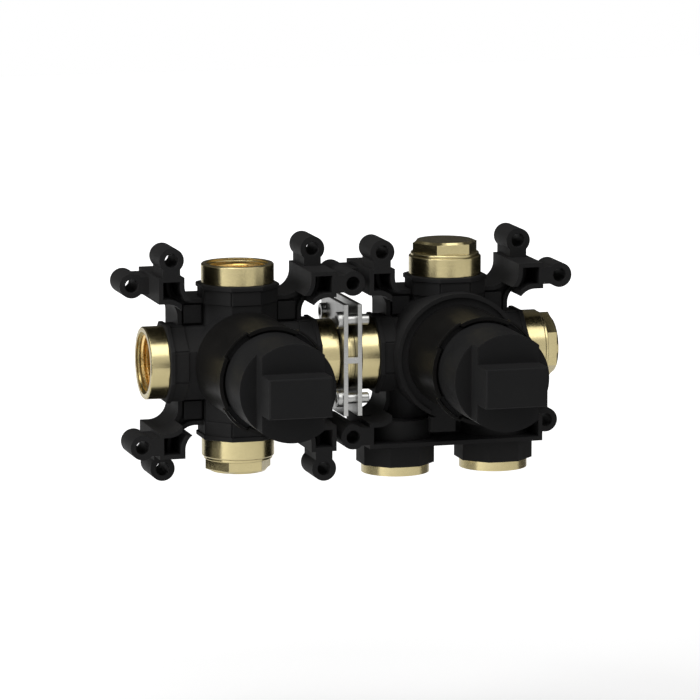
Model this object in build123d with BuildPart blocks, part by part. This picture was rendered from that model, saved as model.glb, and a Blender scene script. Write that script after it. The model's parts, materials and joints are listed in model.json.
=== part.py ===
"""Concealed mixer body of two modules: a single-lever mixer beside a two-way diverter.

X runs to the right, Y towards the wall and Z up, in millimetres. The port axes lie at Y = 0.
"""
import os

from build123d import *

os.makedirs("parts", exist_ok=True)

# Modules, joined face to face by flanged nipples and a clip
port_reach = 45.0
nipple_flange = 2.2
clip_thickness = 2.1
clip_slack = 0.7
module_pitch = 2 * (port_reach + clip_thickness + clip_slack + nipple_flange)
left = -module_pitch / 2
right = module_pitch / 2
up = (0, 1)
down = (0, -1)
leftward = (-1, 0)
rightward = (1, 0)

# Screw eyes, those of neighbouring modules in line between their arms
eye_reach = module_pitch / 2
eye_radius = 5.75
eye_hole_radius = 3.2
eye_neck = 8.0
eye_inset = 6.0
arm_gap = 2.25

# Moulded shells, split at the port axes
shell_half_depth = 20.0
shell_wall = 2.0
web = 1.6
arm_reach = eye_reach - eye_radius - arm_gap
eye_offset = arm_reach - eye_inset
housing_half = 29.5
notch_half = housing_half + 0.5
notch_radius = 8.5
arm_root = housing_half + 1.7
back_wall = 2.2

# Corner posts, ribs and the screws that close the shells
post_size = 8.4
post_offset = 22.4
post_front = 4.0
foot_post_drop = 34.0
rib = 1.5
rib_front = 11.0
rib_radius = notch_radius + shell_wall + 3.0
shell_screw_radius = 1.5
shell_screw_hold = 3.2
shell_screw_head_radius = 3.0
shell_screw_head = 2.2
head_recess = 3.0
screw_play = 0.3

# Port collars and brass ports
collar_half = 17.0
neck_radius = 15.0
neck_play = 0.3
head_radius = 16.9
head_length = 8.8
head_gap = 0.2
collar_reach = port_reach - head_length - head_gap
thread_radius = 13.2
thread_length = 15.0
thread_play = 0.05
mouth_radius = 14.4
mouth_depth = 1.2
rim_chamfer = 0.5

# Outlets below the diverter
outlet_offset = 24.0
outlet_reach = 56.5
outlet_head_radius = 16.0
outlet_head_length = 4.3
outlet_collar_reach = outlet_reach - outlet_head_length - head_gap
outlet_cup_length = 22.5
outlet_cup_top = outlet_reach - outlet_cup_length
outlet_tube_top = 8.0
outlet_tube_radius = 7.8
outlet_tube_shift = 5.2
outlet_jacket_radius = 16.3
outlet_jacket_top = outlet_cup_top - 3.5
outlet_stem_jacket = 9.9
outlet_stem_top = 12.0

# Water passages
passage_radius = 5.0
passage_shift = 4.0
mixed_offset = 6.5
inlet_offset = 9.0
seat_hole_radius = 3.6
outlet_hole_radius = 3.2
outlet_hole_x = 8.5
outlet_hole_drop = 10.0
outlet_passage_radius = 3.4

# Brass core and its cartridge chamber
core_radius = 20.7
core_back = 17.5
core_front = 58.0
core_play = 0.3
chamber_radius = 17.65
seat = 24.0
nut_seat = 51.0
nut_thread_radius = 19.3

# Barrel and cap ring
drum_radius = 24.3
sleeve_groove_radius = 23.7
sleeve_groove = 1.0
ring_radius = 25.1
ring_back = 61.2
ring_front = 64.5
ring_bore = 23.3
ledge = 60.5
bulge_radius = 25.9
bulge_width = 15.2
lug_width = 13.2
lug_radius = 24.4
lug_thickness = 2.4
lug_play = 0.4
boss_radius = 29.8
boss_level = 22.6
boss_lip = 1.4
boss_lip_width = 2.0
tab_centre = -7.3
tab_width = 12.0
tab_drop = 35.0
tab_thickness = 4.0

# Site cap
cap_radius = 22.3
cap_wall = 2.0
cap_seat_gap = 0.1
cap_side_front = 90.0
cap_slab_front = 99.0
cap_grip_front = 112.0
grip_width = 29.0
grip_height = 18.1
cap_edge = 0.6

# Cartridges
cartridge_radius = 17.35
base_front = 28.0
base_gap = 0.3
seal_gap = 0.05
seal_width = 1.2
seal_depth = 1.0
disc_radius = 14.6
disc_front = 32.0
disc_gap = 0.1
moving_disc_radius = 11.5
moving_disc_front = 35.0
carrier_front = 39.0
socket_size = 8.0
socket_floor = 35.6
housing_bore = 15.0
housing_front = 52.0
housing_top = 1.7
housing_mouth = 10.4
swivel_radius = 14.6
swivel_back = 39.6
swivel_front = 50.0
swivel_neck_radius = 10.0
swivel_neck_front = 54.0
slot_length = 13.4
lever_size = 8.0
lever_play = 0.3
lever_foot = 6.0
lever_back = 36.5
lever_shoulder = 41.0
lever_front = 84.0
pin_depth = 46.0
pin_radius = 1.5
pin_length = 24.0
pin_play = 0.05
nut_gap = 0.1
nut_front = 57.5
nut_hex = 26.0
spindle_flange_radius = 13.0
spindle_neck_radius = 9.9
spindle_neck_front = 55.0
spindle_stem_radius = 4.6
spindle_flat = 3.6

# Plugs
plug_flange_radius = 16.0
plug_flange = 1.4
plug_hex = 27.0
plug_hex_height = 5.6
plug_hex_chamfer = 0.8
plug_shank = 11.0

# Coupling between the modules
nipple_flange_radius = 16.0
nipple_shank = 11.0
nipple_bore = 9.0
face_seal_inner = 10.8
face_seal_outer = 13.0
face_seal_depth = 1.2
clip_inner = nipple_flange + 0.1
clip_half_depth = 19.6
clip_half_height = 26.0
clip_play = 0.4
bridge_height = 2.8
coupling_screw_radius = 2.5
coupling_screw_front = 15.0
coupling_screw_rear = 13.6
coupling_screw_height = 18.4
coupling_screw_end = 8.6
coupling_head_radius = 3.9
coupling_head = 2.4


def facing(centre, front):
    """Plane across a module's axis, its normal towards the user."""
    return Plane(origin=(centre, -front, 0), x_dir=(1, 0, 0), z_dir=(0, -1, 0))


def across(centre, direction, reach, shift=(0, 0)):
    """Plane across a port's axis, at a distance from the module's axis."""
    x, z = direction
    place = (centre + x * reach + shift[0], 0, z * reach + shift[1])
    return Plane(origin=place, x_dir=(0, -1, 0), z_dir=(x, 0, z))


def tube_place(outlet):
    """Place of an outlet's rising tube, nearer the module's axis than its cup."""
    return outlet - outlet_tube_shift if outlet > 0 else outlet + outlet_tube_shift


def save(builder, name):
    builder.part.label = name
    export_step(builder.part, f"parts/{name}.step")


def shell_outline(notched_sides):
    """Square with a round-cornered notch in each of the named sides."""
    length = arm_reach - housing_half + 3 * notch_radius
    middle = housing_half + length / 2
    with BuildSketch() as outline:
        Rectangle(2 * arm_reach, 2 * arm_reach)
        for x, z in notched_sides:
            width = length if x else 2 * notch_half
            height = length if z else 2 * notch_half
            with Locations((x * middle, z * middle)):
                RectangleRounded(width, height, notch_radius, mode=Mode.SUBTRACT)
    return outline.sketch


def eye_necks(eyes):
    """Short bridges from the arm walls to the screw eyes."""
    root = arm_reach - shell_wall / 2
    length = eye_reach - root
    middle = (eye_reach + root) / 2
    with BuildSketch() as necks:
        for x, z in eyes:
            upright = abs(z) > abs(x)
            place_x = x if upright else x / eye_reach * middle
            place_z = z / eye_reach * middle if upright else z
            with Locations((place_x, place_z)):
                Rectangle(eye_neck if upright else length, length if upright else eye_neck)
    return necks.sketch


def diagonal_bars(width, radius):
    """Two crossed bars at 45 degrees, trimmed to a circle."""
    with BuildSketch() as bars:
        Rectangle(3 * radius, width, rotation=45)
        Rectangle(3 * radius, width, rotation=-45)
        Circle(radius, mode=Mode.INTERSECT)
    return bars.sketch


def front_shell(centre, notched_sides, ports, outlets, eyes, posts, shell_drum, drum_front, arms):
    """Front half of a module's moulding: open pockets, collars, arms and eyes."""
    with BuildPart() as shell:
        with BuildSketch(facing(centre, 0)):
            add(shell_outline(notched_sides))
        extrude(amount=shell_half_depth)
        with BuildSketch(facing(centre, web)):
            add(shell_outline(notched_sides))
            offset(amount=-shell_wall, kind=Kind.INTERSECTION)
        extrude(amount=shell_half_depth, mode=Mode.SUBTRACT)
        # Between the arms the wall is only as high as the posts
        with BuildSketch(facing(centre, post_front)):
            Rectangle(2 * arm_root, 2 * arm_root)
        extrude(amount=shell_half_depth, mode=Mode.SUBTRACT)
        with BuildSketch(facing(centre, 0)):
            with Locations(*posts):
                Rectangle(post_size, post_size)
        extrude(amount=post_front)
        # A curved rib in each arm follows the corner of the notch beside it
        with BuildSketch(facing(centre, 0)):
            for x, z in arms:
                with Locations((x * (notch_half - notch_radius), z * (housing_half + notch_radius))):
                    Circle(rib_radius + rib)
                    Circle(rib_radius, mode=Mode.SUBTRACT)
            add(shell_outline(notched_sides), mode=Mode.INTERSECT)
            Rectangle(2 * arm_root, 2 * arm_root, mode=Mode.SUBTRACT)
        extrude(amount=rib_front)
        with BuildSketch(facing(centre, 0)):
            Circle(shell_drum)
        extrude(amount=drum_front)
        # Octagon jackets run out to the port collars
        for direction in ports:
            with BuildSketch(across(centre, direction, 0)):
                RegularPolygon(collar_half, 8, major_radius=False, rotation=180 / 8)
            extrude(amount=collar_reach)
        for x in outlets:
            with BuildSketch(across(centre + x, down, arm_reach - shell_wall)):
                RegularPolygon(collar_half, 8, major_radius=False, rotation=180 / 8)
            extrude(amount=outlet_collar_reach - arm_reach + shell_wall)
            with BuildSketch(across(centre + x, down, outlet_jacket_top)):
                Circle(outlet_jacket_radius)
            extrude(amount=arm_reach - outlet_jacket_top)
            with BuildSketch(across(centre + tube_place(x), down, outlet_stem_top)):
                Circle(outlet_stem_jacket)
            extrude(amount=outlet_jacket_top - outlet_stem_top)
        with BuildSketch(facing(centre, 0)):
            with Locations(*eyes):
                Circle(eye_radius)
            add(eye_necks(eyes))
        extrude(amount=shell_half_depth)
        split(bisect_by=facing(centre, 0), keep=Keep.TOP)
        # Room for the brass, the screws and the fixings
        with BuildSketch(facing(centre, 0)):
            Circle(core_radius + core_play)
        extrude(amount=drum_front, mode=Mode.SUBTRACT)
        for direction in ports:
            with BuildSketch(across(centre, direction, 0)):
                Circle(neck_radius + neck_play)
            extrude(amount=collar_reach, mode=Mode.SUBTRACT)
        for x in outlets:
            with BuildSketch(across(centre + x, down, outlet_cup_top - neck_play)):
                Circle(neck_radius + neck_play)
            extrude(amount=outlet_collar_reach, mode=Mode.SUBTRACT)
            with BuildSketch(across(centre + tube_place(x), down, 0)):
                Circle(outlet_tube_radius + neck_play)
            extrude(amount=outlet_cup_top, mode=Mode.SUBTRACT)
        with BuildSketch(facing(centre, 0)):
            with Locations(*eyes):
                Circle(eye_hole_radius)
        extrude(amount=shell_half_depth, mode=Mode.SUBTRACT)
        with BuildSketch(facing(centre, 0)):
            with Locations(*posts):
                Circle(shell_screw_radius + thread_play)
        extrude(amount=shell_screw_hold, mode=Mode.SUBTRACT)
    return shell


def rear_shell(centre, notched_sides, ports, outlets, eyes, posts):
    """Rear half of a module's moulding, closed behind the brass."""
    with BuildPart() as shell:
        with BuildSketch(facing(centre, -shell_half_depth)):
            add(shell_outline(notched_sides))
        extrude(amount=shell_half_depth)
        with BuildSketch(facing(centre, -shell_half_depth)):
            add(shell_outline(notched_sides))
            offset(amount=-shell_wall, kind=Kind.INTERSECTION)
            Rectangle(2 * housing_half, 2 * housing_half, mode=Mode.SUBTRACT)
        extrude(amount=shell_half_depth - web, mode=Mode.SUBTRACT)
        with BuildSketch(facing(centre, -shell_half_depth)):
            with Locations(*posts):
                Rectangle(post_size, post_size)
        extrude(amount=shell_half_depth)
        for direction in ports:
            with BuildSketch(across(centre, direction, 0)):
                RegularPolygon(collar_half, 8, major_radius=False, rotation=180 / 8)
            extrude(amount=collar_reach)
        for x in outlets:
            with BuildSketch(across(centre + x, down, housing_half)):
                RegularPolygon(collar_half, 8, major_radius=False, rotation=180 / 8)
            extrude(amount=outlet_collar_reach - housing_half)
        with BuildSketch(facing(centre, -shell_half_depth)):
            with Locations(*eyes):
                Circle(eye_radius)
            add(eye_necks(eyes))
        extrude(amount=shell_half_depth)
        split(bisect_by=facing(centre, 0), keep=Keep.BOTTOM)
        with BuildSketch(facing(centre, back_wall - shell_half_depth)):
            Circle(core_radius + core_play)
        extrude(amount=shell_half_depth, mode=Mode.SUBTRACT)
        for direction in ports:
            with BuildSketch(across(centre, direction, 0)):
                Circle(neck_radius + neck_play)
            extrude(amount=collar_reach, mode=Mode.SUBTRACT)
        for x in outlets:
            with BuildSketch(across(centre + x, down, outlet_cup_top - neck_play)):
                Circle(neck_radius + neck_play)
            extrude(amount=outlet_collar_reach, mode=Mode.SUBTRACT)
            with BuildSketch(across(centre + tube_place(x), down, 0)):
                Circle(outlet_tube_radius + neck_play)
            extrude(amount=outlet_cup_top, mode=Mode.SUBTRACT)
        with BuildSketch(facing(centre, -shell_half_depth)):
            with Locations(*eyes):
                Circle(eye_hole_radius)
            with Locations(*posts):
                Circle(shell_screw_radius + screw_play)
        extrude(amount=shell_half_depth, mode=Mode.SUBTRACT)
        with BuildSketch(facing(centre, -shell_half_depth)):
            with Locations(*posts):
                Circle(shell_screw_head_radius + screw_play)
        extrude(amount=head_recess, mode=Mode.SUBTRACT)
    return shell


def brass_blank(centre, ports):
    """Turned core with its ports and cartridge chamber, before the water passages."""
    with BuildPart() as blank:
        with BuildSketch(facing(centre, -core_back)):
            Circle(core_radius)
        extrude(amount=core_back + core_front)
        for direction in ports:
            with BuildSketch(across(centre, direction, 0)):
                Circle(neck_radius)
            extrude(amount=port_reach)
            with BuildSketch(across(centre, direction, collar_reach + head_gap)):
                Circle(head_radius)
            extrude(amount=port_reach - collar_reach - head_gap)
            rim = faces().sort_by(Axis((centre, 0, 0), (direction[0], 0, direction[1])))[-1]
            chamfer(rim.edges(), rim_chamfer)
            with BuildSketch(across(centre, direction, port_reach - thread_length)):
                Circle(thread_radius)
            extrude(amount=thread_length, mode=Mode.SUBTRACT)
            with BuildSketch(across(centre, direction, port_reach - mouth_depth)):
                Circle(mouth_radius)
            extrude(amount=mouth_depth, mode=Mode.SUBTRACT)
        with BuildSketch(facing(centre, seat)):
            Circle(chamber_radius)
        extrude(amount=core_front, mode=Mode.SUBTRACT)
        with BuildSketch(facing(centre, nut_seat)):
            Circle(nut_thread_radius)
        extrude(amount=core_front, mode=Mode.SUBTRACT)
    return blank


def barrel_sleeve(centre, base):
    """Black barrel with the ring that takes the site cap."""
    with BuildPart() as sleeve:
        with BuildSketch(facing(centre, base)):
            Circle(drum_radius)
        extrude(amount=ring_front - base)
        with BuildSketch(facing(centre, ring_back)):
            Circle(ring_radius)
            add(diagonal_bars(bulge_width, bulge_radius))
        extrude(amount=ring_front - ring_back)
        with BuildSketch(facing(centre, ring_back - sleeve_groove)):
            Circle(drum_radius)
            Circle(sleeve_groove_radius, mode=Mode.SUBTRACT)
        extrude(amount=sleeve_groove, mode=Mode.SUBTRACT)
        with BuildSketch(facing(centre, base)):
            Circle(core_radius + core_play)
        extrude(amount=ring_front - base, mode=Mode.SUBTRACT)
        with BuildSketch(facing(centre, ledge)):
            Circle(ring_bore)
            add(diagonal_bars(lug_width + 2 * lug_play, lug_radius + lug_play))
        extrude(amount=ring_front - ledge, mode=Mode.SUBTRACT)
    return sleeve


def site_cap(centre):
    """Hollow cap with a square grip, stepped down at its sides."""
    back = ledge + cap_seat_gap
    inner_width = grip_width - 2 * cap_wall
    inner_height = grip_height - 2 * cap_wall
    inner_radius = cap_radius - cap_wall
    with BuildPart() as cap:
        with BuildSketch(facing(centre, back)):
            Circle(cap_radius)
        extrude(amount=cap_side_front - back)
        with BuildSketch(facing(centre, cap_side_front)):
            Circle(cap_radius)
            Rectangle(grip_width, 3 * cap_radius, mode=Mode.INTERSECT)
        extrude(amount=cap_slab_front - cap_side_front)
        with BuildSketch(facing(centre, cap_slab_front)):
            Rectangle(grip_width, grip_height)
        extrude(amount=cap_grip_front - cap_slab_front)
        fronts = faces().sort_by(Axis.Y)[0]
        chamfer(fronts.edges(), cap_edge)
        with BuildSketch(facing(centre, back)):
            add(diagonal_bars(lug_width, lug_radius))
        extrude(amount=lug_thickness)
        with BuildSketch(facing(centre, back)):
            Circle(inner_radius)
        extrude(amount=cap_side_front - cap_wall - back, mode=Mode.SUBTRACT)
        with BuildSketch(facing(centre, back)):
            Circle(inner_radius)
            Rectangle(inner_width, 3 * cap_radius, mode=Mode.INTERSECT)
        extrude(amount=cap_slab_front - cap_wall - back, mode=Mode.SUBTRACT)
        with BuildSketch(facing(centre, back)):
            Rectangle(inner_width, inner_height)
        extrude(amount=cap_grip_front - cap_wall - back, mode=Mode.SUBTRACT)
    return cap


def cartridge_base(centre, holes, hole_radius):
    """Plate with a face groove round each water hole."""
    with BuildPart() as base:
        with BuildSketch(facing(centre, seat + base_gap)):
            Circle(cartridge_radius)
        extrude(amount=base_front - seat - base_gap)
        with BuildSketch(facing(centre, seat + base_gap)):
            with Locations(*holes):
                Circle(hole_radius)
        extrude(amount=base_front - seat, mode=Mode.SUBTRACT)
        with BuildSketch(facing(centre, seat + base_gap)):
            with Locations(*holes):
                Circle(hole_radius + seal_width + seal_gap)
        extrude(amount=seal_depth, mode=Mode.SUBTRACT)
    return base


def base_seals(centre, holes, hole_radius):
    """Flat rubber rings between the brass seat and the cartridge base."""
    with BuildPart() as seals:
        with BuildSketch(facing(centre, seat)):
            with Locations(*holes):
                Circle(hole_radius + seal_width)
            with Locations(*holes):
                Circle(hole_radius + seal_gap, mode=Mode.SUBTRACT)
        extrude(amount=base_gap + seal_depth)
    return seals


def fixed_disc(centre, holes, hole_radius):
    with BuildPart() as disc:
        with BuildSketch(facing(centre, base_front)):
            Circle(disc_radius)
            with Locations(*holes):
                Circle(hole_radius, mode=Mode.SUBTRACT)
        extrude(amount=disc_front - base_front)
    return disc


def cartridge_housing(centre):
    with BuildPart() as housing:
        with BuildSketch(facing(centre, base_front)):
            Circle(cartridge_radius)
        extrude(amount=housing_front - base_front)
        with BuildSketch(facing(centre, base_front)):
            Circle(housing_bore)
        extrude(amount=housing_front - housing_top - base_front, mode=Mode.SUBTRACT)
        with BuildSketch(facing(centre, base_front)):
            Circle(housing_mouth)
        extrude(amount=housing_front - base_front, mode=Mode.SUBTRACT)
    return housing


def retaining_nut(centre):
    with BuildPart() as nut:
        with BuildSketch(facing(centre, housing_front + nut_gap)):
            Circle(nut_thread_radius - thread_play)
            RegularPolygon(nut_hex / 2, 6, major_radius=False, mode=Mode.SUBTRACT)
        extrude(amount=nut_front - housing_front - nut_gap)
    return nut


def port_plug(centre, direction):
    """Hexagon plug screwed into a spare port."""
    head = port_reach + plug_flange
    with BuildPart() as plug:
        with BuildSketch(across(centre, direction, port_reach - plug_shank)):
            Circle(thread_radius - thread_play)
        extrude(amount=plug_shank)
        with BuildSketch(across(centre, direction, port_reach)):
            Circle(plug_flange_radius)
        extrude(amount=plug_flange)
        with BuildSketch(across(centre, direction, head)):
            RegularPolygon(plug_hex / 2, 6, major_radius=False, rotation=180 / 6)
        extrude(amount=plug_hex_height)
        end = faces().sort_by(Axis((centre, 0, 0), (direction[0], 0, direction[1])))[-1]
        chamfer(end.edges(), plug_hex_chamfer)
    return plug


left_sides = [up, rightward, down, leftward]
right_sides = [up, rightward, leftward]
corners = [(1, 1), (1, -1), (-1, -1), (-1, 1)]
left_posts = [(x * post_offset, z * post_offset) for x, z in corners]
right_posts = [(post_offset, post_offset), (-post_offset, post_offset), (0, -foot_post_drop)]
left_front_eyes = [(-eye_offset, eye_reach), (eye_reach, eye_offset),
                   (eye_offset, -eye_reach), (-eye_reach, -eye_offset)]
left_rear_eyes = [(-x, z) for x, z in left_front_eyes]
right_front_eyes = [(-eye_offset, eye_reach), (eye_reach, eye_offset), (-eye_reach, -eye_offset)]
right_rear_eyes = [(-x, z) for x, z in right_front_eyes]
outlet_places = [-outlet_offset, outlet_offset]
inner_end = port_reach - thread_length


# Mixer module
with BuildPart() as left_body:
    add(brass_blank(left, left_sides).part)
    for direction in (up, leftward):
        with BuildSketch(across(left, direction, inlet_offset)):
            Circle(passage_radius)
        extrude(amount=inner_end - inlet_offset, mode=Mode.SUBTRACT)
    # The mixed water leaves through the two other ports, which meet inside
    for direction, shift in ((rightward, (0, -passage_shift)), (down, (passage_shift, 0))):
        with BuildSketch(across(left, direction, mixed_offset, shift)):
            Circle(passage_radius)
        extrude(amount=inner_end - mixed_offset, mode=Mode.SUBTRACT)
    mixer_holes = [(-inlet_offset, 0), (0, inlet_offset), (mixed_offset, -mixed_offset)]
    with BuildSketch(facing(left, 0)):
        with Locations(*mixer_holes):
            Circle(seat_hole_radius)
    extrude(amount=seat, mode=Mode.SUBTRACT)
save(left_body, "left_body")

left_front_shell = front_shell(left, left_sides, left_sides, [], left_front_eyes, left_posts,
                               drum_radius, collar_half, corners)
save(left_front_shell, "left_front_shell")
left_rear_shell = rear_shell(left, left_sides, left_sides, [], left_rear_eyes, left_posts)
save(left_rear_shell, "left_rear_shell")
left_sleeve = barrel_sleeve(left, collar_half)
save(left_sleeve, "left_sleeve")
left_cap = site_cap(left)
save(left_cap, "left_cap")

# Mixer cartridge
mixer_base = cartridge_base(left, mixer_holes, seat_hole_radius)
save(mixer_base, "mixer_base")
mixer_seals = base_seals(left, mixer_holes, seat_hole_radius)
save(mixer_seals, "mixer_seals")
mixer_fixed_disc = fixed_disc(left, mixer_holes, seat_hole_radius)
save(mixer_fixed_disc, "mixer_fixed_disc")

with BuildPart() as mixer_moving_disc:
    with BuildSketch(facing(left, disc_front + disc_gap)):
        Circle(moving_disc_radius)
    extrude(amount=moving_disc_front - disc_front - disc_gap)
save(mixer_moving_disc, "mixer_moving_disc")

with BuildPart() as mixer_carrier:
    with BuildSketch(facing(left, moving_disc_front)):
        Circle(moving_disc_radius)
    extrude(amount=carrier_front - moving_disc_front)
    with BuildSketch(facing(left, socket_floor)):
        Rectangle(socket_size, socket_size)
    extrude(amount=carrier_front - socket_floor, mode=Mode.SUBTRACT)
save(mixer_carrier, "mixer_carrier")

mixer_housing = cartridge_housing(left)
save(mixer_housing, "mixer_housing")

with BuildPart() as mixer_swivel:
    with BuildSketch(facing(left, swivel_back)):
        Circle(swivel_radius)
    extrude(amount=swivel_front - swivel_back)
    with BuildSketch(facing(left, swivel_front)):
        Circle(swivel_neck_radius)
    extrude(amount=swivel_neck_front - swivel_front)
    with BuildSketch(facing(left, swivel_back)):
        Rectangle(lever_size + 2 * lever_play, slot_length)
    extrude(amount=swivel_neck_front - swivel_back, mode=Mode.SUBTRACT)
    with BuildSketch(Plane.YZ.offset(left)):
        with Locations((-pin_depth, 0)):
            Circle(pin_radius + pin_play)
    extrude(amount=pin_length / 2, both=True, mode=Mode.SUBTRACT)
save(mixer_swivel, "mixer_swivel")

with BuildPart() as mixer_lever:
    with BuildSketch(facing(left, lever_back)):
        Rectangle(lever_foot, lever_foot)
    extrude(amount=lever_shoulder - lever_back)
    with BuildSketch(facing(left, lever_shoulder)):
        Rectangle(lever_size, lever_size)
    extrude(amount=lever_front - lever_shoulder)
    with BuildSketch(Plane.YZ.offset(left)):
        with Locations((-pin_depth, 0)):
            Circle(pin_radius + pin_play)
    extrude(amount=lever_size, both=True, mode=Mode.SUBTRACT)
save(mixer_lever, "mixer_lever")

with BuildPart() as mixer_pin:
    with BuildSketch(Plane.YZ.offset(left)):
        with Locations((-pin_depth, 0)):
            Circle(pin_radius)
    extrude(amount=pin_length / 2, both=True)
save(mixer_pin, "mixer_pin")

mixer_nut = retaining_nut(left)
save(mixer_nut, "mixer_nut")
bottom_plug = port_plug(left, down)
save(bottom_plug, "bottom_plug")

# Diverter module
with BuildPart() as right_body:
    add(brass_blank(right, right_sides).part)
    for x in outlet_places:
        with BuildSketch(across(right + tube_place(x), down, outlet_tube_top)):
            Circle(outlet_tube_radius)
        extrude(amount=outlet_cup_top - outlet_tube_top)
        with BuildSketch(across(right + x, down, outlet_cup_top)):
            Circle(neck_radius)
        extrude(amount=outlet_reach - outlet_cup_top)
        with BuildSketch(across(right + x, down, outlet_collar_reach + head_gap)):
            Circle(outlet_head_radius)
        extrude(amount=outlet_reach - outlet_collar_reach - head_gap)
        with BuildSketch(across(right + x, down, outlet_reach - thread_length)):
            Circle(thread_radius)
        extrude(amount=thread_length, mode=Mode.SUBTRACT)
        with BuildSketch(across(right + x, down, outlet_reach - mouth_depth)):
            Circle(mouth_radius)
        extrude(amount=mouth_depth, mode=Mode.SUBTRACT)
        with BuildSketch(across(right + tube_place(x), down, outlet_hole_drop)):
            Circle(outlet_passage_radius)
        extrude(amount=outlet_reach - thread_length - outlet_hole_drop, mode=Mode.SUBTRACT)
    # Cross passages join the outlets to their holes in the seat
    for direction in (leftward, rightward):
        passage_start = outlet_hole_x - outlet_passage_radius
        with BuildSketch(across(right, direction, passage_start, (0, -outlet_hole_drop))):
            Circle(outlet_passage_radius)
        extrude(amount=outlet_offset - outlet_tube_shift - passage_start, mode=Mode.SUBTRACT)
    with BuildSketch(across(right, leftward, -inner_end)):
        Circle(passage_radius)
    extrude(amount=2 * inner_end, mode=Mode.SUBTRACT)
    with BuildSketch(across(right, up, 0)):
        Circle(passage_radius)
    extrude(amount=inner_end, mode=Mode.SUBTRACT)
    diverter_holes = [(0, 0), (outlet_hole_x, -outlet_hole_drop), (-outlet_hole_x, -outlet_hole_drop)]
    with BuildSketch(facing(right, 0)):
        with Locations(*diverter_holes):
            Circle(outlet_hole_radius)
    extrude(amount=seat, mode=Mode.SUBTRACT)
save(right_body, "right_body")

right_front_shell = front_shell(right, right_sides, right_sides, outlet_places, right_front_eyes, right_posts,
                                boss_radius, boss_level, [(1, 1), (-1, 1)])
with BuildPart() as right_front:
    add(right_front_shell.part)
    with BuildSketch(facing(right, boss_level - tab_thickness)):
        with Locations((tab_centre, -(boss_radius + tab_drop - boss_lip_width) / 2)):
            Rectangle(tab_width, tab_drop - boss_radius + boss_lip_width)
    extrude(amount=tab_thickness)
    with BuildSketch(facing(right, boss_level)):
        Circle(boss_radius)
        Circle(boss_radius - boss_lip_width, mode=Mode.SUBTRACT)
        with Locations((tab_centre, -boss_radius)):
            Rectangle(tab_width, boss_radius, mode=Mode.SUBTRACT)
    extrude(amount=boss_lip)
save(right_front, "right_front_shell")
right_rear_shell = rear_shell(right, right_sides, right_sides, outlet_places, right_rear_eyes, right_posts)
save(right_rear_shell, "right_rear_shell")
right_sleeve = barrel_sleeve(right, boss_level)
save(right_sleeve, "right_sleeve")
right_cap = site_cap(right)
save(right_cap, "right_cap")

# Diverter cartridge
diverter_base = cartridge_base(right, diverter_holes, outlet_hole_radius)
save(diverter_base, "diverter_base")
diverter_seals = base_seals(right, diverter_holes, outlet_hole_radius)
save(diverter_seals, "diverter_seals")
diverter_fixed_disc = fixed_disc(right, diverter_holes, outlet_hole_radius)
save(diverter_fixed_disc, "diverter_fixed_disc")

with BuildPart() as diverter_moving_disc:
    with BuildSketch(facing(right, disc_front + disc_gap)):
        Circle(spindle_flange_radius)
    extrude(amount=moving_disc_front - disc_front - disc_gap)
save(diverter_moving_disc, "diverter_moving_disc")

diverter_housing = cartridge_housing(right)
save(diverter_housing, "diverter_housing")

with BuildPart() as diverter_spindle:
    with BuildSketch(facing(right, moving_disc_front)):
        Circle(spindle_flange_radius)
    extrude(amount=swivel_front - moving_disc_front)
    with BuildSketch(facing(right, swivel_front)):
        Circle(spindle_neck_radius)
    extrude(amount=spindle_neck_front - swivel_front)
    with BuildSketch(facing(right, spindle_neck_front)):
        Circle(spindle_stem_radius)
        Rectangle(3 * spindle_stem_radius, 2 * spindle_flat, mode=Mode.INTERSECT)
    extrude(amount=lever_front - spindle_neck_front)
save(diverter_spindle, "diverter_spindle")

diverter_nut = retaining_nut(right)
save(diverter_nut, "diverter_nut")
top_plug = port_plug(right, up)
save(top_plug, "top_plug")
side_plug = port_plug(right, rightward)
save(side_plug, "side_plug")

# Seals in the mouths of the ports that are closed
with BuildPart() as port_seals:
    for centre, direction in ((left, down), (left, rightward), (right, leftward), (right, up), (right, rightward)):
        with BuildSketch(across(centre, direction, port_reach - mouth_depth)):
            Circle(mouth_radius - seal_gap)
            Circle(thread_radius + seal_gap, mode=Mode.SUBTRACT)
        extrude(amount=mouth_depth)
save(port_seals, "port_seals")

# Coupling: two flanged nipples, a face seal and a steel clip behind the flanges
for name, centre, direction in (("left_nipple", left, rightward), ("right_nipple", right, leftward)):
    with BuildPart() as nipple:
        with BuildSketch(across(centre, direction, port_reach - nipple_shank)):
            Circle(thread_radius - thread_play)
        extrude(amount=nipple_shank + module_pitch / 2 - port_reach)
        with BuildSketch(across(centre, direction, module_pitch / 2 - nipple_flange)):
            Circle(nipple_flange_radius)
        extrude(amount=nipple_flange)
        with BuildSketch(across(centre, direction, 0)):
            Circle(nipple_bore)
        extrude(amount=module_pitch / 2, mode=Mode.SUBTRACT)
        if direction == rightward:
            with BuildSketch(across(centre, direction, module_pitch / 2 - face_seal_depth)):
                Circle(face_seal_outer + seal_gap)
                Circle(face_seal_inner - seal_gap, mode=Mode.SUBTRACT)
            extrude(amount=face_seal_depth, mode=Mode.SUBTRACT)
    save(nipple, name)

with BuildPart() as coupling_seal:
    with BuildSketch(across(left, rightward, module_pitch / 2 - face_seal_depth)):
        Circle(face_seal_outer)
        Circle(face_seal_inner, mode=Mode.SUBTRACT)
    extrude(amount=face_seal_depth)
save(coupling_seal, "coupling_seal")

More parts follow.
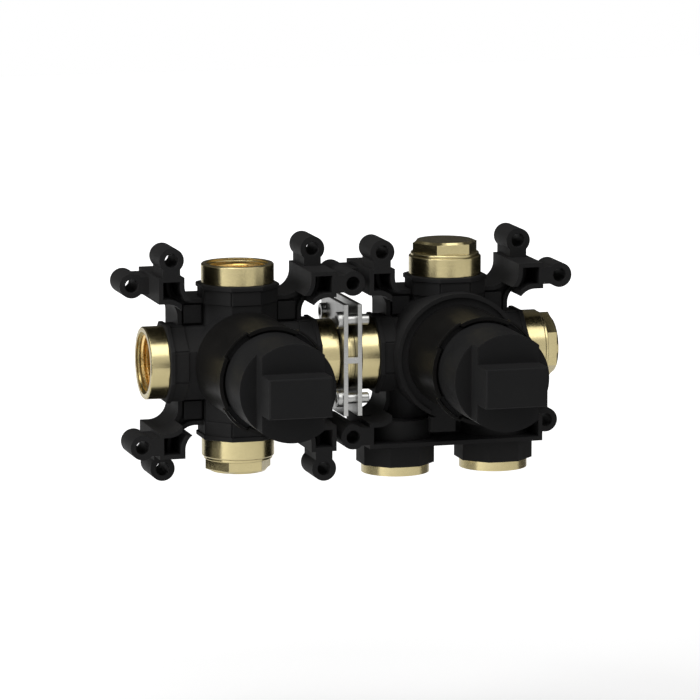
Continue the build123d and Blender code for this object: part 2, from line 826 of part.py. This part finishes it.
screw_places = [(-y, z) for y in (coupling_screw_front, -coupling_screw_rear)
                for z in (coupling_screw_height, -coupling_screw_height)]
clip_outer = clip_inner + clip_thickness
with BuildPart() as coupling_clip:
    for start in (-clip_outer, clip_inner):
        with BuildSketch(Plane.YZ.offset(start)):
            Rectangle(2 * clip_half_depth, 2 * clip_half_height)
            Circle(thread_radius + clip_play, mode=Mode.SUBTRACT)
            with Locations((clip_half_depth, 0)):
                Rectangle(2 * clip_half_depth, 2 * (thread_radius + clip_play), mode=Mode.SUBTRACT)
            with Locations(*screw_places):
                Circle(coupling_screw_radius + thread_play, mode=Mode.SUBTRACT)
        extrude(amount=clip_thickness)
    with BuildSketch(facing(0, clip_half_depth - clip_thickness)):
        Rectangle(2 * clip_outer, bridge_height)
    extrude(amount=clip_thickness)
save(coupling_clip, "coupling_clip")

with BuildPart() as coupling_screws:
    with BuildSketch(Plane.YZ.offset(-clip_outer)):
        with Locations(*screw_places):
            Circle(coupling_screw_radius)
    extrude(amount=clip_outer + coupling_screw_end)
    with BuildSketch(Plane.YZ.offset(-clip_outer - coupling_head)):
        with Locations(*screw_places):
            Circle(coupling_head_radius)
    extrude(amount=coupling_head)
save(coupling_screws, "coupling_screws")

# Screws from behind close the shells
with BuildPart() as shell_screws:
    for centre, posts in ((left, left_posts), (right, right_posts)):
        with BuildSketch(facing(centre, head_recess - shell_half_depth - shell_screw_head)):
            with Locations(*posts):
                Circle(shell_screw_head_radius)
        extrude(amount=shell_screw_head)
        with BuildSketch(facing(centre, head_recess - shell_half_depth)):
            with Locations(*posts):
                Circle(shell_screw_radius)
        extrude(amount=shell_half_depth - head_recess + shell_screw_hold)
save(shell_screws, "shell_screws")
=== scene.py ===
"""Looks of the concealed mixer body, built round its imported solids."""
import json
import math

import bpy
from mathutils import Matrix, Vector


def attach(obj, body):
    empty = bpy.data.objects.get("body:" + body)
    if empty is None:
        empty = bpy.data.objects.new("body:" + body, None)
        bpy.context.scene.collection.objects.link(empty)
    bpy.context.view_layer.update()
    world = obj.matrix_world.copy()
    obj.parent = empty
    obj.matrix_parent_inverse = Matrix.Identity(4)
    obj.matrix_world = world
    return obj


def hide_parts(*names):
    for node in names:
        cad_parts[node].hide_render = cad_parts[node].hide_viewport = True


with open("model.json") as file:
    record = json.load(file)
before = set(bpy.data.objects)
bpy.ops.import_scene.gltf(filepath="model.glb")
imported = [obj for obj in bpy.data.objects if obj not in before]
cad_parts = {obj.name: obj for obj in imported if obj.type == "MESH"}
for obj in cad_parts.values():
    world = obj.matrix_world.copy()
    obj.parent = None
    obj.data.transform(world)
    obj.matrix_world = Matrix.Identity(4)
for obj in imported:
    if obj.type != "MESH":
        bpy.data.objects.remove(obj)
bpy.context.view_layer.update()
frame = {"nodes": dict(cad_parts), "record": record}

MM = 0.001
ROOT = "valve_body"

# Directions, and the middles of the two modules in mm
UP = Vector((0, 0, 1))
DOWN = Vector((0, 0, -1))
TO_LEFT = Vector((-1, 0, 0))
TO_RIGHT = Vector((1, 0, 0))
TO_USER = Vector((0, -1, 0))
TO_WALL = Vector((0, 1, 0))
LEFT_MODULE = Vector((-50, 0, 0))
RIGHT_MODULE = Vector((50, 0, 0))

# Reaches from a module's middle in mm
PORT_REACH = 45.0
COLLAR_REACH = 36.0
OUTLET_REACH = 56.5
OUTLET_SIDE = 24.0
THREAD_INSET = 1.2

# Values of a noise between which a material goes from its low to its high value
NOISE_LOW, NOISE_HIGH = 0.3, 0.7


def new_material(name):
    """A node material and its principled shader."""
    mat = bpy.data.materials.new(name)
    mat.use_nodes = True
    return mat, mat.node_tree.nodes["Principled BSDF"]


def fill(node, values):
    """Sets a node's inputs by their names."""
    for key, value in values.items():
        node.inputs[key].default_value = value


def noise(tree, scale, detail, rough=0.55, stretch=None):
    """Noise in object space, stretched along an axis where a stretch is given."""
    coords = tree.nodes.new("ShaderNodeTexCoord")
    source = coords.outputs["Object"]
    if stretch:
        mapping = tree.nodes.new("ShaderNodeMapping")
        fill(mapping, {"Scale": stretch})
        tree.links.new(source, mapping.inputs["Vector"])
        source = mapping.outputs["Vector"]
    tex = tree.nodes.new("ShaderNodeTexNoise")
    fill(tex, {"Scale": scale, "Detail": detail, "Roughness": rough})
    tree.links.new(source, tex.inputs["Vector"])
    return tex


def ranged(tree, value, source, target):
    """Node that maps a number from one range to another."""
    node = tree.nodes.new("ShaderNodeMapRange")
    fill(node, {"From Min": source[0], "From Max": source[1], "To Min": target[0], "To Max": target[1]})
    tree.links.new(value, node.inputs["Value"])
    return node


def spread(tree, tex, low, high):
    """A number that varies with a texture between two values."""
    node = ranged(tree, tex.outputs["Fac"], (NOISE_LOW, NOISE_HIGH), (low, high))
    return node.outputs["Result"]


def tint(tree, tex, dark, light):
    """A colour that varies with a texture between two colours."""
    ramp = tree.nodes.new("ShaderNodeValToRGB")
    stops = ramp.color_ramp.elements
    for stop, position, colour in ((stops[0], NOISE_LOW, dark), (stops[1], NOISE_HIGH, light)):
        stop.position = position
        stop.color = (*colour, 1)
    tree.links.new(tex.outputs["Fac"], ramp.inputs["Fac"])
    return ramp.outputs["Color"]


def soften(tree, shader, tex, strength, distance, edge):
    """Surface grain as bump, over edges rounded in shading."""
    bevel = tree.nodes.new("ShaderNodeBevel")
    bevel.samples = 4
    fill(bevel, {"Radius": edge})
    bump = tree.nodes.new("ShaderNodeBump")
    fill(bump, {"Strength": strength, "Distance": distance})
    tree.links.new(tex.outputs["Fac"], bump.inputs["Height"])
    tree.links.new(bevel.outputs["Normal"], bump.inputs["Normal"])
    tree.links.new(bump.outputs["Normal"], shader.inputs["Normal"])


def black_plastic(name, dark, light, rough, specular, edge):
    """Near black moulded plastic or rubber, with a faint spark grain."""
    mat, shader = new_material(name)
    tree = mat.node_tree
    fill(shader, {"Specular IOR Level": specular})
    cloud = noise(tree, scale=60.0, detail=4.0)
    grain = noise(tree, scale=2600.0, detail=2.0)
    tree.links.new(tint(tree, cloud, dark, light), shader.inputs["Base Color"])
    tree.links.new(spread(tree, cloud, *rough), shader.inputs["Roughness"])
    soften(tree, shader, grain, strength=0.25, distance=0.06 * MM, edge=edge)
    return mat


def metal(name, dark, light, rough, edge, stretch=None):
    """Bare metal with faint tool marks."""
    mat, shader = new_material(name)
    tree = mat.node_tree
    fill(shader, {"Metallic": 1.0})
    cloud = noise(tree, scale=45.0, detail=3.0)
    marks = noise(tree, scale=900.0, detail=2.0, rough=0.5, stretch=stretch)
    tree.links.new(tint(tree, cloud, dark, light), shader.inputs["Base Color"])
    tree.links.new(spread(tree, marks, *rough), shader.inputs["Roughness"])
    soften(tree, shader, marks, strength=0.08, distance=0.02 * MM, edge=edge)
    return mat


def pale(name, dark, light, rough):
    """Pale plastic or ceramic inside the cartridges."""
    mat, shader = new_material(name)
    tree = mat.node_tree
    cloud = noise(tree, scale=300.0, detail=3.0)
    tree.links.new(tint(tree, cloud, dark, light), shader.inputs["Base Color"])
    fill(shader, {"Roughness": rough})
    soften(tree, shader, cloud, strength=0.1, distance=0.03 * MM, edge=0.2 * MM)
    return mat


finishes = {
    "brass": metal("brass", dark=(0.43, 0.365, 0.19), light=(0.50, 0.43, 0.235),
                   rough=(0.2, 0.27), edge=0.25 * MM),
    "raw_brass": metal("raw_brass", dark=(0.88, 0.63, 0.26), light=(0.96, 0.7, 0.31),
                       rough=(0.24, 0.36), edge=0.1 * MM),
    "black_moulding": black_plastic("black_moulding", dark=(0.0105, 0.0105, 0.0108),
                                    light=(0.0145, 0.0142, 0.014), rough=(0.52, 0.66),
                                    specular=0.06, edge=0.4 * MM),
    "black_barrel": black_plastic("black_barrel", dark=(0.0045, 0.0043, 0.0041),
                                  light=(0.0065, 0.0062, 0.0057), rough=(0.36, 0.46),
                                  specular=0.07, edge=0.4 * MM),
    "black_cap": black_plastic("black_cap", dark=(0.0085, 0.0085, 0.0088),
                               light=(0.0105, 0.0105, 0.0105), rough=(0.5, 0.6),
                               specular=0.06, edge=0.6 * MM),
    "white_plastic": pale("white_plastic", dark=(0.62, 0.61, 0.57), light=(0.7, 0.69, 0.66), rough=0.5),
    "ceramic": pale("ceramic", dark=(0.78, 0.77, 0.72), light=(0.84, 0.83, 0.8), rough=0.2),
    "seal": black_plastic("seal", dark=(0.01, 0.01, 0.01), light=(0.016, 0.016, 0.016),
                          rough=(0.6, 0.75), specular=0.3, edge=0.2 * MM),
    "steel": metal("steel", dark=(0.33, 0.33, 0.32), light=(0.42, 0.42, 0.41),
                   rough=(0.24, 0.36), edge=0.2 * MM, stretch=(1, 1, 9)),
}

for part in frame["record"]["subparts"]:
    mesh = frame["nodes"][part["node"]].data
    mesh.materials.clear()
    barrel = part["node"].endswith("_sleeve")
    mesh.materials.append(finishes["black_barrel" if barrel else part["material_slot"]])


def smooth(obj, degrees):
    """Smooth shading on curved faces, sharp at edges over an angle."""
    for poly in obj.data.polygons:
        poly.use_smooth = True
    obj.data.set_sharp_from_angle(angle=math.radians(degrees))


def add_mesh(name, verts, faces, slot, finish=None):
    """New piece with the finish of a slot, unless another finish is given."""
    mesh = bpy.data.meshes.new(name)
    mesh.from_pydata(verts, [], faces)
    mesh.update()
    obj = bpy.data.objects.new(name, mesh)
    bpy.context.scene.collection.objects.link(obj)
    mesh.materials.append(finishes[finish or slot])
    return obj


def axis_place(point, direction):
    """Frame at a point in mm, with Z along a direction."""
    turn = direction.to_track_quat("Z", "Y").to_matrix().to_4x4()
    return Matrix.Translation(point * MM) @ turn


def port_place(mouth, direction):
    """Frame at a port's mouth in mm: Z out of the port, X towards the user."""
    side = direction.cross(TO_USER)
    turn = Matrix((TO_USER, side, direction)).transposed().to_4x4()
    return Matrix.Translation(mouth * MM) @ turn


def thread(name, mouth, direction):
    """Internal pipe thread as one helical ridge, running inwards from a port's mouth."""
    length, major, minor, pitch = 13.6, 13.2, 12.1, 1.814
    sink, steps = 0.02, 72
    root = major + sink
    flank, crest = pitch * 0.46, pitch * 0.1
    profile = [(root, -flank), (minor, -crest), (minor, crest), (root, flank)]
    count = int((length - pitch) / pitch * steps)
    fade = steps / 3
    place = axis_place(mouth, direction)
    verts, faces = [], []
    for i in range(count + 1):
        angle = 2 * math.pi * i / steps
        run_out = min(1.0, i / fade, (count - i) / fade)
        middle = -pitch / 2 - pitch * i / steps
        for radius, shift in profile:
            reach = root + (radius - root) * run_out
            point = Vector((reach * math.cos(angle), reach * math.sin(angle), middle + shift)) * MM
            verts.append(place @ point)
    width = len(profile)
    for i in range(count):
        first = i * width
        for a in range(first, first + width - 1):
            faces.append((a, a + width, a + width + 1, a + 1))
        faces.append((first + width - 1, first + 2 * width - 1, first + width, first))
    faces.append(tuple(range(width)))
    faces.append(tuple(reversed(range(count * width, (count + 1) * width))))
    obj = add_mesh(name, verts, faces, "brass", "raw_brass")
    smooth(obj, 35)
    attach(obj, ROOT)


inlet_depth = PORT_REACH - THREAD_INSET
outlet_depth = OUTLET_REACH - THREAD_INSET
thread("top_inlet_thread", LEFT_MODULE + UP * inlet_depth, UP)
thread("side_inlet_thread", LEFT_MODULE + TO_LEFT * inlet_depth, TO_LEFT)
thread("left_outlet_thread", RIGHT_MODULE + TO_LEFT * OUTLET_SIDE + DOWN * outlet_depth, DOWN)
thread("right_outlet_thread", RIGHT_MODULE + TO_RIGHT * OUTLET_SIDE + DOWN * outlet_depth, DOWN)


def even_turns(count):
    """Angles of one full turn in even steps."""
    return [2 * math.pi * i / count for i in range(count)]


def circle(turns, radius, z):
    """Ring of points on a circle."""
    return [(radius * math.cos(a), radius * math.sin(a), z) for a in turns]


def hexagon(turns, flat, z):
    """Ring of points on a hexagon, with its flats at a distance from the axis."""
    side = math.pi / 3
    ring = []
    for a in turns:
        radius = flat / math.cos((a + side / 2) % side - side / 2)
        ring.append((radius * math.cos(a), radius * math.sin(a), z))
    return ring


def ring_mesh(place, rings):
    """Walls between rings of equal point count in mm, stacked along a piece's axis."""
    verts = [place @ (Vector(point) * MM) for ring in rings for point in ring]
    count = len(rings[0])
    faces = []
    for level in range(len(rings) - 1):
        for i in range(count):
            a = level * count + i
            b = level * count + (i + 1) % count
            faces.append((a, b, b + count, a + count))
    return verts, faces


def capped_mesh(place, rings):
    """Closed mesh from stacked rings, with a face over the first and the last."""
    verts, faces = ring_mesh(place, rings)
    count = len(rings[0])
    faces.append(tuple(reversed(range(count))))
    faces.append(tuple(range((len(rings) - 1) * count, len(rings) * count)))
    return verts, faces


def join(verts, faces, more_verts, more_faces):
    """Adds one mesh's points and faces to the lists of another."""
    start = len(verts)
    verts += more_verts
    faces += [tuple(start + i for i in face) for face in more_faces]


def plug(name, node, mouth, direction):
    """Plug with an eased flange and a hexagon bevelled up to a round crown."""
    flat, flange_radius, shank_radius = 13.5, 16.0, 13.15
    flange, top, shank = 1.4, 7.0, 11.0
    crown, bevel = 13.0, 1.1
    lead, ease, brim = 0.8, 0.15, 0.4
    turned = [(shank_radius - lead, -shank), (shank_radius, lead - shank), (shank_radius, 0),
              (flange_radius - ease, 0), (flange_radius, ease), (flange_radius, flange - brim),
              (flange_radius - ease, flange - ease), (flange_radius - brim, flange)]
    turns = even_turns(192)
    rings = [circle(turns, radius, z) for radius, z in turned]
    rings += [hexagon(turns, flat, flange), hexagon(turns, flat, top - bevel), circle(turns, crown, top)]
    verts, faces = capped_mesh(port_place(mouth, direction), rings)
    obj = add_mesh(name, verts, faces, "brass")
    smooth(obj, 18)
    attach(obj, ROOT)
    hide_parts(node)


plug("top_plug_turned", "top_plug", RIGHT_MODULE + UP * PORT_REACH, UP)
plug("side_plug_turned", "side_plug", RIGHT_MODULE + TO_RIGHT * PORT_REACH, TO_RIGHT)
plug("bottom_plug_turned", "bottom_plug", LEFT_MODULE + DOWN * PORT_REACH, DOWN)


def screws(name, node, points, direction, shank_radius, shank, head_radius, head, socket):
    """Screws of one size with a hexagon socket, as one piece. The direction points out of the heads."""
    ease, socket_depth = 0.35, 0.6 * head
    end = -head - shank
    turned = [(shank_radius - ease, end), (shank_radius, end + ease), (shank_radius, -head),
              (head_radius, -head), (head_radius, -ease), (head_radius - ease, 0)]
    turns = even_turns(48)
    rings = [circle(turns, radius, z) for radius, z in turned]
    rings += [hexagon(turns, socket, 0), hexagon(turns, socket, -socket_depth)]
    verts, faces = [], []
    for point in points:
        join(verts, faces, *capped_mesh(axis_place(point, direction), rings))
    obj = add_mesh(name, verts, faces, "steel")
    smooth(obj, 30)
    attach(obj, ROOT)
    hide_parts(node)


post, foot_post, head_level = 22.4, 34.0, 19.2
shell_points = [LEFT_MODULE + Vector((x * post, head_level, z * post)) for x in (-1, 1) for z in (-1, 1)]
shell_points += [RIGHT_MODULE + Vector((x * post, head_level, post)) for x in (-1, 1)]
shell_points.append(RIGHT_MODULE + Vector((0, head_level, -foot_post)))
screws("shell_screws_socket", "shell_screws", shell_points, TO_WALL,
       shank_radius=1.5, shank=20.2, head_radius=3.0, head=2.2, socket=1.25)

clip_face, clip_front, clip_back, clip_height = -6.8, -15.0, 13.6, 18.4
clip_points = [Vector((clip_face, y, z * clip_height)) for y in (clip_front, clip_back) for z in (-1, 1)]
screws("coupling_screws_socket", "coupling_screws", clip_points, TO_LEFT,
       shank_radius=2.5, shank=13.0, head_radius=3.9, head=2.4, socket=2.0)


def collar_lip(name, module, direction):
    """Moulded lip at the end of an octagon collar, over eight panels parted by slits."""
    jacket, panel, lip, bore, slit = 17.0, 17.5, 18.1, 15.4, 0.8
    length, depth, ease, proud = 8.8, 2.2, 0.2, 0.04
    sides = 8
    half_turn = math.pi / sides
    place = port_place(module + direction * COLLAR_REACH, direction)
    section = [(jacket - ease, -depth), (lip - ease, -depth), (lip, ease - depth), (lip, -2 * ease),
               (lip - 2 * ease, proud), (bore, proud), (bore, -depth)]
    corners = [half_turn * (2 * i + 1) for i in range(sides)]
    verts, faces = ring_mesh(place, [circle(corners, flat / math.cos(half_turn), z) for flat, z in section])
    last = (len(section) - 1) * sides
    for i in range(sides):
        j = (i + 1) % sides
        faces.append((last + i, last + j, j, i))
    half_width = panel * math.tan(half_turn) - slit / 2
    for turn in even_turns(sides):
        out = Vector((math.cos(turn), math.sin(turn), 0))
        along = Vector((-out.y, out.x, 0))
        rings = []
        for flat, inset in ((jacket - ease, 0), (panel - ease, 0), (panel, ease)):
            x, low, high = half_width - inset, inset - length, -depth
            outline = ((-x, low), (x, low), (x, high), (-x, high))
            rings.append([out * flat + along * across + UP * z for across, z in outline])
        join(verts, faces, *capped_mesh(place, rings))
    obj = add_mesh(name, verts, faces, "black_moulding")
    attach(obj, ROOT)


collar_lip("top_inlet_lip", LEFT_MODULE, UP)
collar_lip("side_inlet_lip", LEFT_MODULE, TO_LEFT)
collar_lip("left_foot_lip", LEFT_MODULE, DOWN)
collar_lip("left_inner_lip", LEFT_MODULE, TO_RIGHT)
collar_lip("right_inner_lip", RIGHT_MODULE, TO_LEFT)
collar_lip("right_top_lip", RIGHT_MODULE, UP)
collar_lip("right_side_lip", RIGHT_MODULE, TO_RIGHT)

# Studio in metres and watts: white surroundings, soft lamps, dark cards, pale floor
scene = bpy.context.scene
scene.view_settings.view_transform = "Standard"


def higher(tree, first, second):
    """The higher of two numbers."""
    node = tree.nodes.new("ShaderNodeMath")
    node.operation = "MAXIMUM"
    tree.links.new(first, node.inputs[0])
    tree.links.new(second, node.inputs[1])
    return node.outputs[0]


def light_world(ambient):
    """White to the camera, in reflections and through clear things, and dimmer as a light."""
    world = bpy.data.worlds.new("studio")
    scene.world = world
    world.use_nodes = True
    tree = world.node_tree
    back = tree.nodes["Background"]
    fill(back, {"Color": (1, 1, 1, 1)})
    path = tree.nodes.new("ShaderNodeLightPath")
    seen = higher(tree, path.outputs["Is Camera Ray"], path.outputs["Is Glossy Ray"])
    seen = higher(tree, seen, path.outputs["Is Transmission Ray"])
    level = ranged(tree, seen, (0.0, 1.0), (ambient, 1.0))
    tree.links.new(level.outputs["Result"], back.inputs["Strength"])


def lamp(name, place, target, size, power):
    """Soft rectangular lamp turned to a target."""
    data = bpy.data.lights.new(name, "AREA")
    data.shape = "RECTANGLE"
    data.size, data.size_y = size
    data.energy = power
    obj = bpy.data.objects.new(name, data)
    obj.location = place
    obj.rotation_euler = (Vector(target) - Vector(place)).to_track_quat("-Z", "Y").to_euler()
    scene.collection.objects.link(obj)


light_world(ambient=0.2)
lamp("key", place=(-1.3, -0.35, 0.55), target=(0, -0.04, 0), size=(0.8, 1.0), power=18)
lamp("front", place=(0.25, -0.85, 0.95), target=(0, -0.04, 0), size=(0.7, 0.8), power=3.8)
lamp("top", place=(-0.35, -0.45, 1.15), target=(0, 0, 0), size=(0.7, 0.6), power=7.0)


def card_finish(name, glow):
    """Dull card with a set grey."""
    mat, shader = new_material(name)
    fill(shader, {"Base Color": (0.01, 0.01, 0.01, 1), "Roughness": 0.9, "Specular IOR Level": 0.1,
                  "Emission Color": (1, 0.97, 0.9, 1), "Emission Strength": glow})
    return mat


def card(name, finish, corners):
    """Studio card that only reflections show, for dark bands on the round metal."""
    mesh = bpy.data.meshes.new(name)
    mesh.from_pydata(corners, [], [(0, 1, 2, 3)])
    mesh.update()
    obj = bpy.data.objects.new(name, mesh)
    scene.collection.objects.link(obj)
    mesh.materials.append(finish)
    obj.visible_camera = False
    obj.visible_diffuse = False
    obj.visible_shadow = False


def box_corners(low, high):
    """Corners of a flat rectangle, in order, from its lowest and highest values."""
    return (low[0], low[1]), (high[0], low[1]), (high[0], high[1]), (low[0], high[1])


dark_card = card_finish("dark_card", glow=0.09)
card_side, card_back, card_top = 0.6, 1.5, 0.8
for side, front in ((-1, -0.22), (1, -0.1)):
    card("side_card", dark_card,
         [(card_side * side, y, z) for y, z in box_corners((front, -0.5), (card_back, 0.9))])
card("top_card", dark_card,
     [(x, y, card_top) for x, y in box_corners((-card_side, 0.1), (card_side, card_back))])
card("back_card", card_finish("grey_card", glow=0.05),
     [(x, card_back, z) for x, z in box_corners((-card_side, 0.0), (0.9, card_top))])


def lay_floor(level, size):
    """Pale floor, lit by itself to the camera and in reflections, less so near the part's shadow."""
    reflected = 0.65
    shadow_reach, white_reach, shadow_glow = 0.25, 1.2, 0.3
    bpy.ops.mesh.primitive_plane_add(size=size, location=(0, 0, level))
    floor = bpy.context.object
    floor.name = "floor"
    mat, shader = new_material("floor")
    tree = mat.node_tree
    fill(shader, {"Base Color": (0.9, 0.9, 0.9, 1), "Roughness": 0.9, "Emission Color": (1, 1, 1, 1)})
    path = tree.nodes.new("ShaderNodeLightPath")
    shine = ranged(tree, path.outputs["Is Glossy Ray"], (0.0, 1.0), (0.0, reflected))
    seen = higher(tree, path.outputs["Is Camera Ray"], shine.outputs["Result"])
    coords = tree.nodes.new("ShaderNodeTexCoord")
    away = tree.nodes.new("ShaderNodeVectorMath")
    away.operation = "LENGTH"
    tree.links.new(coords.outputs["Object"], away.inputs[0])
    fade = ranged(tree, away.outputs["Value"], (shadow_reach, white_reach), (shadow_glow, 1.0))
    glow = ranged(tree, seen, (0.0, 1.0), (0.0, 1.0))
    tree.links.new(fade.outputs["Result"], glow.inputs["To Max"])
    tree.links.new(glow.outputs["Result"], shader.inputs["Emission Strength"])
    floor.data.materials.append(mat)


lay_floor(level=-0.2, size=6)

# Camera: a long lens from the front left, a little above
azimuth, elevation = math.radians(15.8), math.radians(9.4)
distance, clip_end = 2290 * MM, 20
focal_pixels, frame_pixels, sensor = 4916.0, 700.0, 36.0
target = Vector((4.06, 0, 1.63)) * MM
look = Vector((math.sin(azimuth) * math.cos(elevation), math.cos(azimuth) * math.cos(elevation),
               -math.sin(elevation)))
camera_data = bpy.data.cameras.new("camera")
camera_data.lens = focal_pixels / frame_pixels * sensor
camera_data.sensor_width = sensor
camera_data.clip_end = clip_end
camera = bpy.data.objects.new("camera", camera_data)
camera.location = target - look * distance
camera.rotation_euler = look.to_track_quat("-Z", "Y").to_euler()
scene.collection.objects.link(camera)
scene.camera = camera
